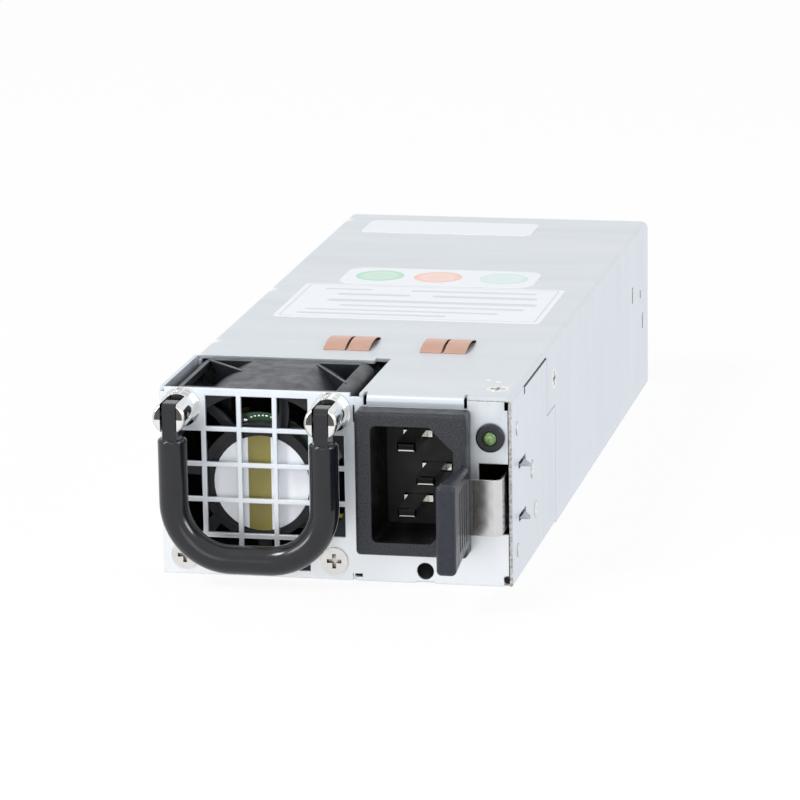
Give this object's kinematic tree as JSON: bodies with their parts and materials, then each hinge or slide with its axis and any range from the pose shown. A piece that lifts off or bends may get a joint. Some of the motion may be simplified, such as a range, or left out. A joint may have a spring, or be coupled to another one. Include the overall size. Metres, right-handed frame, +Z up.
{
  "type": "hot swap server power supply",
  "caption": "Slim sheet-steel hot swap power supply with a fan behind a square grille, wire bail handle, mains inlet, spring latch and rear blind-mate plug.",
  "frame": {"origin": "middle of the lower front edge of the case: outer face of the front panel, underside of the case, half way across", "axes": "+X to the right seen from the front, +Y from the front panel to the rear plug, +Z up"},
  "size_m": [0.0768, 0.2177, 0.0413],
  "materials": {
    "case_steel": "satin galvanised sheet",
    "fan_plastic": "fine matt moulding",
    "rotor_plastic": "matt moulding",
    "magnet_ferrite": "pressed ferrite",
    "ground_steel": "ground",
    "nickel_plate": "bright nickel plate",
    "handle_enamel": "smooth gloss black coating",
    "inlet_plastic": "fine spark-eroded matt",
    "blade_nickel": "satin nickel plate",
    "lamp_bezel": "gloss",
    "lamp_lens": "diffuse green lens",
    "spring_steel": "bright rolled stainless",
    "grip_plastic": "satin moulding",
    "spring_copper": "bright copper alloy",
    "board_laminate": "solder resist",
    "film": "translucent polyester",
    "sleeve_dark": "shrink sleeve",
    "component_black": "moulded epoxy",
    "component_yellow": "cast box",
    "ferrite": "sintered",
    "winding_tape": "polyester tape",
    "coil_copper": "enamelled wire",
    "sink_aluminium": "extruded",
    "fuse_ceramic": "glazed ceramic",
    "lead_insulation": "pvc",
    "fan_wire": "pvc",
    "plug_plastic": "glass-filled moulding",
    "contact_gold": "gold flash"
  },
  "bodies": {
    "housing": {"chassis_base": "case_steel", "front_panel": "case_steel", "top_cover": "case_steel", "rear_panel": "case_steel", "fan_frame": "fan_plastic", "fan_driver_board": "board_laminate", "fan_stator": "coil_copper", "fan_bearings": "ground_steel", "fan_screws": "nickel_plate", "fan_leads": "fan_wire", "fan_header": "plug_plastic", "handle_ferrules": "nickel_plate", "handle_pins": "ground_steel", "inlet_body": "inlet_plastic", "inlet_blades": "blade_nickel", "inlet_leads": "lead_insulation", "led_holder": "lamp_bezel", "led_lamp": "lamp_lens", "latch_studs": "nickel_plate", "contact_springs": "spring_copper", "cover_screws": "nickel_plate", "panel_rivets": "case_steel", "main_board": "board_laminate", "insulation_film": "film", "board_standoffs": "nickel_plate", "board_screws": "nickel_plate", "fuse": "fuse_ceramic", "x_capacitor": "component_yellow", "filter_choke": "coil_copper", "filter_choke_saddle": "component_black", "bridge_rectifier": "component_black", "bulk_capacitor": "sleeve_dark", "primary_heatsink": "sink_aluminium", "power_transistors": "component_black", "boost_choke": "coil_copper", "boost_choke_saddle": "component_black", "transformer_core": "ferrite", "transformer_winding": "winding_tape", "transformer_feet": "component_black", "control_card": "board_laminate", "control_chips": "component_black", "output_capacitors": "sleeve_dark", "output_plug": "plug_plastic", "output_contacts": "contact_gold"},
    "handle": {"handle_bail": "handle_enamel"},
    "latch": {"latch_spring": "spring_steel", "latch_grip": "grip_plastic"},
    "fan_rotor": {"fan_impeller": "rotor_plastic", "fan_magnet": "magnet_ferrite", "fan_shaft": "ground_steel"}
  },
  "joints": [
    {"name": "handle_swing", "type": "hinge", "parent": "housing", "child": "handle", "pos_m": [-0.0166, -0.0077, 0.036], "axis": [-1, 0, 0], "range_deg": [0, 90]},
    {"name": "latch_press", "type": "hinge", "parent": "housing", "child": "latch", "pos_m": [0.0357, 0.0475, 0.0184], "axis": [0, 0, -1], "range_deg": [0, 3.6], "stiffness_Nm_per_rad": 6},
    {"name": "fan_spin", "type": "hinge", "parent": "housing", "child": "fan_rotor", "pos_m": [-0.0166, 0.0008, 0.02], "axis": [0, 1, 0], "continuous": true}
  ]
}
